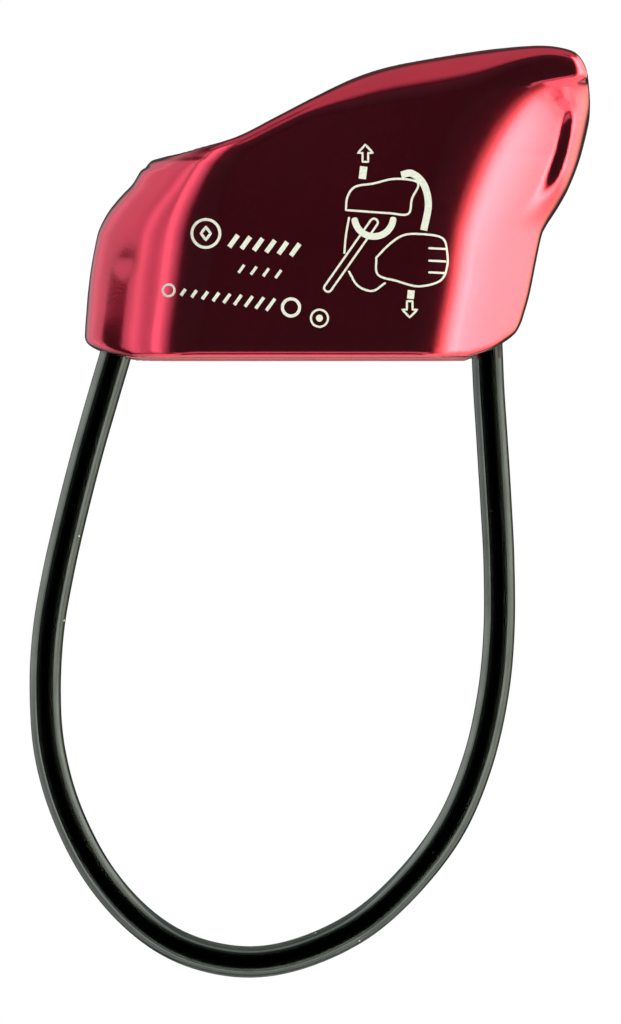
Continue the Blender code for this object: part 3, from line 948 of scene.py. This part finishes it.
class Marks:
    """Flat strokes and fills on the front face, each laid on the body as a thin solid."""

    def __init__(self):
        self.outlines = []       # pairs of matching rows: the two sides of a ribbon

    def stroke(self, points, width=LINE, closed=False, round_ends=True):
        points = dense(points, closed)
        if closed:
            along = np.roll(points, -1, axis=0) - np.roll(points, 1, axis=0)
        else:
            along = np.gradient(points, axis=0)
        along /= np.linalg.norm(along, axis=1)[:, None]
        across = np.stack([-along[:, 1], along[:, 0]], axis=1) * width / 2.0
        left, right = points + across, points - across
        if round_ends and not closed:
            half = width / 2.0
            caps = [(0.86, 0.5), (0.5, 0.86)]       # out along the line and to the side, in half widths
            first = [(points[0] - along[0] * half * out, across[0] * side) for out, side in caps]
            last = [(points[-1] + along[-1] * half * out, across[-1] * side) for out, side in reversed(caps)]
            left = np.vstack([[at + aside for at, aside in first], left,
                              [at + aside for at, aside in last]])
            right = np.vstack([[at - aside for at, aside in first], right,
                               [at - aside for at, aside in last]])
        self.outlines.append((left, right, closed))

    def bar(self, centre, length, width, tilt=0.0):
        reach = np.array((math.cos(tilt), math.sin(tilt))) * length / 2.0
        self.stroke([np.array(centre) - reach, np.array(centre) + reach], width, round_ends=False)

    def disc(self, centre, radius):
        angle = np.linspace(0.12, math.pi - 0.12, 9)
        across = np.stack([np.cos(angle), np.sin(angle)], axis=1) * radius
        left = np.array(centre) + across
        right = np.array(centre) + across * (1.0, -1.0)
        self.outlines.append((left, right, False))

    def build(self, name, finish):
        vertices, faces = [], []
        for number, (left, right, closed) in enumerate(self.outlines):
            rise = MARK_RISE * (1.0 + 0.08 * (number % 7))
            count = len(left)
            flat = np.vstack([left, right])
            depth = surface_depth(flat[:, 0], flat[:, 1])
            first = len(vertices)
            for offset in (-rise, 2.0 * MARK_RISE):
                vertices += [(x, y + offset, z) for (x, z), y in zip(flat, depth)]
            for k in range(count if closed else count - 1):
                following = (k + 1) % count
                front = [first + k, first + following, first + count + following, first + count + k]
                back = [index + 2 * count for index in front]
                faces += [front, back[::-1], [front[1], front[0], back[0], back[1]],
                          [front[3], front[2], back[2], back[3]]]
            if not closed:
                for k, turn in ((0, 1), (count - 1, -1)):
                    rim = [first + k, first + count + k, first + 3 * count + k, first + 2 * count + k]
                    faces.append(rim[::turn])
        mesh = outward(mesh_from(name, vertices, faces))
        mesh.polygons.foreach_set("use_smooth", [False] * len(mesh.polygons))
        marks = new_object(name, mesh, finish)
        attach(marks, DEVICE)


def along_row(start, distance, lift=0.0):
    """A point in a row that starts at start and tilts with the other rows."""
    return (start[0] + distance * math.cos(ROW_TILT) - lift * math.sin(ROW_TILT),
            start[1] + distance * math.sin(ROW_TILT) + lift * math.cos(ROW_TILT))


def arrow_outline(base, height, up=True):
    """A small outlined arrow that stands on, or hangs from, its base."""
    side = 1.0 if up else -1.0
    shape = [(-0.36, 0.0), (0.36, 0.0), (0.36, 0.52), (0.98, 0.52), (0.0, 1.0), (-0.98, 0.52), (-0.36, 0.52)]
    return [(base[0] + x, base[1] + side * z * height) for x, z in shape]


def make_row_marks(finish):
    """Plain signs: a ring with a diamond, two rows of blocks, and the rope sizes as two rings and a bar."""
    marks = Marks()
    centre = (-12.1, 15.9)
    marks.stroke(ring_line(centre, 1.8), 0.36, closed=True)
    diamond = [(0.0, 0.85), (0.62, 0.0), (0.0, -0.85), (-0.62, 0.0)]
    marks.stroke([(centre[0] + x, centre[1] + z) for x, z in diamond], 0.34, closed=True)

    row = (-9.1, 15.2)
    for number in range(6):
        marks.bar(along_row(row, 0.6 + 1.6 * number, -0.2), 1.9, 0.6, ROW_TILT + LEAN)
    row = (-7.9, 11.6)
    for number in range(4):
        marks.bar(along_row(row, 0.4 + 1.6 * number, -0.2), 1.25, 0.36, ROW_TILT + LEAN)

    row = (-16.9, 8.6)
    marks.stroke(ring_line(along_row(row, 0.0), 0.75), 0.3, closed=True)
    for number in range(9):
        height = 1.0 + 0.11 * number
        marks.bar(along_row(row, 1.9 + 1.42 * number), height, 0.42, ROW_TILT + LEAN)
    marks.stroke(ring_line(along_row(row, 15.9), 1.1), 0.4, closed=True)
    marks.stroke(ring_line((2.5, 5.0), 1.1), 0.27, closed=True)
    marks.disc((2.5, 5.0), 0.45)
    marks.build("etched_rows", finish)


def make_pictogram(finish):
    """How the rope runs: load strand up, round the carabiner, brake strand down through a fist."""
    marks = Marks()
    marks.stroke(arrow_outline((8.4, 25.1), 2.2), closed=True)
    marks.stroke([(8.0, 22.9), (8.2, 24.5)], 0.95, round_ends=False)
    shell = [(5.9, 18.9), (6.1, 20.6), (7.1, 21.9), (9.4, 22.3), (12.0, 22.9), (14.6, 22.7), (15.2, 22.0),
             (14.4, 20.4), (13.9, 18.4), (11.5, 18.5), (8.6, 18.7)]
    marks.stroke(smooth_rows(shell + shell[:1], 5)[:-1], closed=True)
    marks.stroke(arc_line((9.5, 18.0), 2.5, 190.0, 352.0), 0.85)
    bar_start, bar_end = np.array((9.5, 17.3)), np.array((3.6, 8.9))
    along = (bar_end - bar_start) / np.linalg.norm(bar_end - bar_start)
    heading = math.degrees(math.atan2(along[1], along[0]))
    capsule = np.vstack([arc_line(bar_end, 0.5, heading - 90.0, heading + 90.0, 9),
                         arc_line(bar_start, 0.5, heading + 90.0, heading + 270.0, 9)])
    marks.stroke(capsule, closed=True)
    marks.stroke(smooth_rows([(6.3, 17.9), (5.9, 15.6), (5.7, 13.4)], 5))
    marks.stroke(smooth_rows([(6.3, 11.0), (7.4, 9.2), (9.3, 8.5), (10.9, 9.5)], 5))
    marks.stroke(smooth_rows([(13.0, 23.4), (14.4, 23.6), (15.9, 22.2), (16.5, 19.6), (15.9, 16.3)], 6), 0.9,
                 round_ends=False)
    fist = [(9.8, 12.8), (11.6, 14.6), (13.4, 15.7), (15.8, 15.8), (18.3, 15.3), (18.9, 13.6), (18.9, 11.6),
            (18.0, 9.8), (15.2, 9.1), (12.4, 9.8), (10.0, 10.6)]
    marks.stroke(smooth_rows(fist + fist[:1], 5)[:-1], closed=True)
    for height in (14.0, 12.4, 10.9):
        marks.stroke([(16.6, height), (18.7, height - 0.1)])
    marks.stroke([(14.3, 8.6), (14.2, 7.5)], 0.9, round_ends=False)
    marks.stroke(arrow_outline((14.1, 7.2), 2.1, up=False), closed=True)
    marks.build("etched_pictogram", finish)


def make_marks():
    finish = etched_material()
    make_row_marks(finish)
    make_pictogram(finish)


# ---------------------------------------------------------------- everything

make_camera()
make_cable()
make_body()
make_marks()
make_lights()
make_floor()
make_backdrop()
